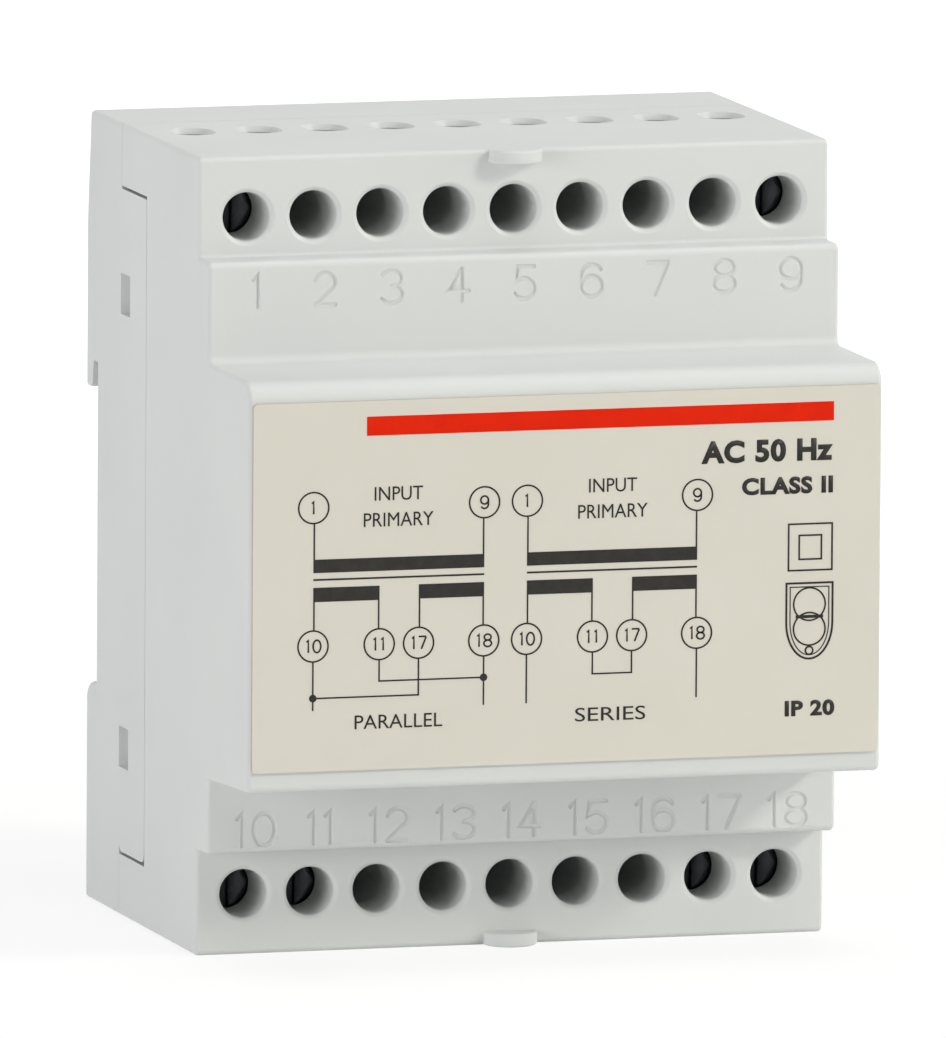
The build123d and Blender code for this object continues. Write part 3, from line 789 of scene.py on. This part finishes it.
def inkBar(shape, left, right, low, high):
    middle = (low + high) / 2
    inkStrip(shape, [(left, middle), (right, middle)], high - low)


def inkRing(shape, x, z, radius, wide, layer=0):
    outline = arc((x, z), (radius, radius), 0, 360, inkLook["ringSteps"])[:-1]
    inkStrip(shape, outline, wide, True, layer)


def inkDot(shape, x, z, radius):
    outline = arc((x, z), (radius, radius), 0, 360, inkLook["dotSteps"])[:-1]
    levels = (labelFace, inkFront(inkLook["dotLayer"]))
    bridge(shape, [[(px * mm, y, pz * mm) for px, pz in outline] for y in levels], False)


def inkWords(shape, words, left, right, low, high, heavy):
    letters = bpy.data.curves.new("letters", "FONT")
    letters.body = words
    letters.offset = heavy
    letters.space_character = 1 + wordLook["spacing"] * heavy
    letters.resolution_u = wordLook["steps"]
    holder = bpy.data.objects.new("letters", letters)
    scene.collection.objects.link(holder)
    flat = settled(holder)
    spots = [vertex.co for vertex in flat.vertices]
    start = Vector((min(s.x for s in spots), min(s.y for s in spots)))
    size = Vector((max(s.x for s in spots), max(s.y for s in spots))) - start
    for vertex in flat.vertices:
        x = left + (vertex.co.x - start.x) / size.x * (right - left)
        z = low + (vertex.co.y - start.y) / size.y * (high - low)
        vertex.co = (x * mm, labelFace, z * mm)
    part = bmesh.new()
    part.from_mesh(flat)
    bmesh.ops.remove_doubles(part, verts=part.verts, dist=wordLook["weld"])
    raised = bmesh.ops.extrude_face_region(part, geom=part.faces[:])
    for spot in raised["geom"]:
        if isinstance(spot, bmesh.types.BMVert):
            spot.co.y -= inkLook["thick"]
    part.to_mesh(flat)
    part.free()
    shape.from_mesh(flat)
    bpy.data.objects.remove(holder)


def inkTerminal(shape, number, x, z, look):
    inkRing(shape, x, z, look["ringRadius"], look["ring"])
    for line in strokesOf(number, x, z - look["tall"] / 2, look):
        closed = (Vector(line[0]) - Vector(line[-1])).length < closeEnough
        inkStrip(shape, line[:-1] if closed else line, look["stroke"], closed)


def inkScheme(shape, left, joined, look):  # two windings over a core line, with their terminals
    xs = {number: left + shift for number, shift in look["columns"].items()}
    edge = look["ringRadius"] + look["ring"] / 2
    inkBar(shape, left, xs[9], *look["primaryZ"])
    inkStrip(shape, [(left, look["coreZ"]), (xs[9], look["coreZ"])], look["coreWide"])
    inkBar(shape, left, xs[11], *look["secondaryZ"])
    inkBar(shape, xs[17], xs[18], *look["secondaryZ"])
    for number, x in xs.items():
        top = number < 10
        z = look["topZ"] if top else look["lowZ"]
        inkTerminal(shape, number, x, z, look)
        inset = look["thin"] / 2 if number in (1, 10, 17) else -look["thin"] / 2
        ends = (z - edge, look["primaryZ"][1]) if top else (z + edge, look["secondaryZ"][0])
        inkStrip(shape, [(x + inset, ends[0]), (x + inset, ends[1])], look["thin"])
    foot = look["lowZ"] - edge
    for number in (10, 18):
        inkStrip(shape, [(xs[number], foot), (xs[number], look["tailZ"])], look["thin"])
    if joined == "side by side":
        outer, inner = look["outerLinkZ"], look["innerLinkZ"]
        inkStrip(shape, [(xs[11], foot), (xs[11], outer), (xs[18], outer)], look["thin"])
        inkStrip(shape, [(xs[17], foot), (xs[17], inner), (xs[10], inner)], look["thin"], False, 1)
        inkDot(shape, xs[18], outer, look["dot"])
        inkDot(shape, xs[10], inner, look["dot"])
    else:
        link = look["seriesLinkZ"]
        inkStrip(shape, [(xs[11], foot), (xs[11], link), (xs[17], link), (xs[17], foot)], look["thin"])


def inkSigns(shape, look):  # double square, and a shield with two linked rings
    for left, right, low, high in look["squares"]:
        inkStrip(shape, [(left, low), (right, low), (right, high), (left, high)], look["squareLine"], True)
    x = look["middle"]
    for inset, wide in look["shieldLines"]:
        top, half = look["shieldTop"] - inset, look["shieldHalf"] - inset
        radii = (half, look["shieldDrop"] - inset)
        bow = arc((x, look["shieldBend"]), radii, 180, 360, look["shieldSteps"])
        inkStrip(shape, [(x + half, top), (x - half, top)] + bow, wide, True)
    for layer, z in enumerate(look["linkedZ"]):
        inkRing(shape, x, z, look["linkedRadius"], look["line"], layer)
    inkStrip(shape, look["core"], look["coreWide"], False, look["coreLayer"])
    inkRing(shape, x, look["eyeZ"], look["eyeRadius"], look["line"], look["eyeLayer"])


def printLabel():
    black = bmesh.new()
    for joined, left in schemeLook["places"].items():
        inkScheme(black, left, joined, schemeLook)
    inkSigns(black, signLook)
    for caption in captions:
        inkWords(black, *caption)
    red = bmesh.new()
    inkBar(red, *stripeBox)
    addPiece("labelPrint", black, blackInk, "housing")
    addPiece("labelStripe", red, redInk, "housing")


printLabel()
print("label printed")

# Spring of the rail foot, folded from strip
springLow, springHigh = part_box("latch_spring")
springForm = {"strip": 0.6 * mm, "runs": 6, "edge": 0.12 * mm, "bendSteps": 8}


def foldSpring(form):
    half = form["strip"] / 2
    step = (springHigh.z - springLow.z - form["strip"]) / (form["runs"] - 1)
    bend = step / 2
    reach = (springHigh.x - springLow.x) / 2 - half - bend
    line = [(-reach - bend, springLow.z + half)]
    for run in range(form["runs"]):
        z = springLow.z + half + run * step
        way = 1 if run % 2 == 0 else -1
        if run == form["runs"] - 1:
            line.append((way * (reach + bend), z))
            break
        line += arc((way * reach, z + bend), (way * bend, bend), -90, 90, form["bendSteps"])
    sides = sideways(line, False)
    shape = bmesh.new()
    rings = []
    edge = form["edge"]
    for (x, z), side in zip(line, sides):
        corners = []
        for across, y, inward in (
            (half, springLow.y, 1), (half, springHigh.y, -1),
            (-half, springHigh.y, -1), (-half, springLow.y, 1),
        ):
            sign = 1 if across > 0 else -1
            pair = [(across, y + inward * edge), (across - sign * edge, y)]
            corners += pair if (sign > 0) == (inward < 0) else pair[::-1]
        rings.append([(x + side.x * a, y, z + side.y * a) for a, y in corners])
    bridge(shape, rings, False)
    spring = addPiece("foldedSpring", shape, springSteel, "housing")
    smoothShade(spring, creaseAngles["round"])
    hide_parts("latch_spring")
    slide = next(joint for joint in frame["joints"] if joint["name"] == "rail_latch_slide")
    travel = slide["range_m"][1]
    free = springHigh.z - springLow.z
    (free - travel) / free
    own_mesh(spring)


foldSpring(springForm)
print("spring folded")

# Floor, light and camera
stageLook = {"half": 4.0, "cells": 4, "floor": 0.95, "catch": 0.30, "glow": 0.76, "fade": (0.10, 0.50)}
worldLook = {"ambient": 0.18, "white": 1.0}
lampLooks = {
    "keyLamp": {
        "towards": (1.2, -1.0, 0.85), "far": 1.3, "size": 0.18, "power": 5.8, "colour": (1, 1, 0.91),
    },
    "rightLamp": {
        "towards": (1.0, -0.5, 0.05), "far": 1.3, "size": 0.8, "power": 6.3, "colour": (1, 1, 0.91),
    },
    "fillLamp": {
        "towards": (-1.0, -0.75, 0.02), "far": 1.3, "size": 0.8, "power": 1.8, "colour": (1, 1, 0.99),
    },
    "leftLamp": {
        "towards": (-1.0, -0.42, 0.03), "far": 1.3, "size": 0.7, "power": 8.8, "colour": (1, 1, 1),
    },
    "topLamp": {
        "towards": (0.0, -0.05, 1.0), "far": 1.1, "size": 0.9, "power": 5.2, "colour": (1, 1, 1),
    },
    "rearLamp": {
        "towards": (0.15, 1.0, 0.02), "far": 1.3, "size": 0.8, "power": 4.5, "colour": (1, 1, 1),
    },
    "glintLamp": {
        "towards": (0.75, -0.15, 0.65), "far": 1.3, "size": 0.25, "power": 8.0, "colour": (1, 1, 0.97),
    },
}
sheenLamps = ("topLamp", "glintLamp")  # the lower lamps would leave glare on the top face
glintLamps = ("glintLamp",)  # only for the bright rims of the driver holes
cameraLook = {
    "target": (-0.00101, 0, 0.0450), "azimuth": -16.415, "elevation": 7.936, "roll": 0.353,
    "distance": 3.0286, "lens": 966.69, "sensor": 36, "clip": 20,
}


def seenDirectly(paint):  # camera, mirror and glass rays
    camera = paint.node("LightPath", {}, {}, "Is Camera Ray")
    mirror = paint.node("LightPath", {}, {}, "Is Glossy Ray")
    glass = paint.node("LightPath", {}, {}, "Is Transmission Ray")
    return camera + mirror + glass


def makeFloor(look):
    shape = bmesh.new()
    bmesh.ops.create_grid(shape, x_segments=look["cells"], y_segments=look["cells"], size=look["half"])
    mesh = bpy.data.meshes.new("studioFloor")
    shape.to_mesh(mesh)
    shape.free()
    floor = bpy.data.objects.new("studioFloor", mesh)
    scene.collection.objects.link(floor)
    paint = newFinish("paleFloor")
    grey = {key: (look[key],) * 3 + (1,) for key in ("floor", "catch", "glow")}
    plain = paint.node("BsdfDiffuse", {}, {"Color": grey["floor"]})
    catch = paint.node("BsdfDiffuse", {}, {"Color": grey["catch"]})
    away = paint.node("VectorMath", {"operation": "LENGTH"}, {0: paint.place()}, "Value")
    near, far = look["fade"]
    away = paint.node("MapRange", {}, {"Value": away, "From Min": near, "From Max": far})
    glow = paint.node("Emission", {}, {"Color": paint.between(away, grey["glow"], (1, 1, 1, 1))})
    shown = paint.node("AddShader", {}, {0: catch, 1: glow})
    both = paint.node("MixShader", {}, {0: seenDirectly(paint), 1: plain, 2: shown})
    paint.node("OutputMaterial", {}, {"Surface": both})
    mesh.materials.append(paint.owner)


def makeWorld(look):
    scene.world = bpy.data.worlds.new("studioWorld")
    paint = Finish(scene.world)
    soft = paint.node("Background", {}, {"Color": (1, 1, 1, 1), "Strength": look["ambient"]})
    white = paint.node("Background", {}, {"Color": (1, 1, 1, 1), "Strength": look["white"]})
    both = paint.node("MixShader", {}, {0: seenDirectly(paint), 1: soft, 2: white})
    paint.node("OutputWorld", {}, {"Surface": both})


def makeLamp(name, look):
    lamp = bpy.data.lights.new(name, "AREA")
    lamp.size = look["size"]
    lamp.energy = look["power"]
    lamp.color = look["colour"]
    holder = bpy.data.objects.new(name, lamp)
    scene.collection.objects.link(holder)
    towards = Vector(look["towards"]).normalized()
    holder.location = (cadBox[0] + cadBox[1]) / 2 + towards * look["far"]
    holder.rotation_euler = towards.to_track_quat("Z", "Y").to_euler()
    holder.visible_glossy = name in sheenLamps
    holder.visible_diffuse = name not in glintLamps


def makeCamera(look):
    camera = bpy.data.cameras.new("photoCamera")
    camera.lens = look["lens"]
    camera.sensor_width = look["sensor"]
    camera.clip_end = look["clip"]
    holder = bpy.data.objects.new("photoCamera", camera)
    scene.collection.objects.link(holder)
    turn, lift = math.radians(look["azimuth"]), math.radians(look["elevation"])
    back = Vector((math.sin(turn) * math.cos(lift), -math.cos(turn) * math.cos(lift), math.sin(lift)))
    aim = (-back).to_track_quat("-Z", "Y").to_matrix() @ Matrix.Rotation(math.radians(look["roll"]), 3, "Z")
    spot = Vector(look["target"]) + back * look["distance"]
    holder.matrix_world = Matrix.Translation(spot) @ aim.to_4x4()
    scene.camera = holder


makeFloor(stageLook)
makeWorld(worldLook)
for lampName, lampLook in lampLooks.items():
    makeLamp(lampName, lampLook)
makeCamera(cameraLook)
scene.view_settings.view_transform = "Standard"
print("stage, light and camera set")
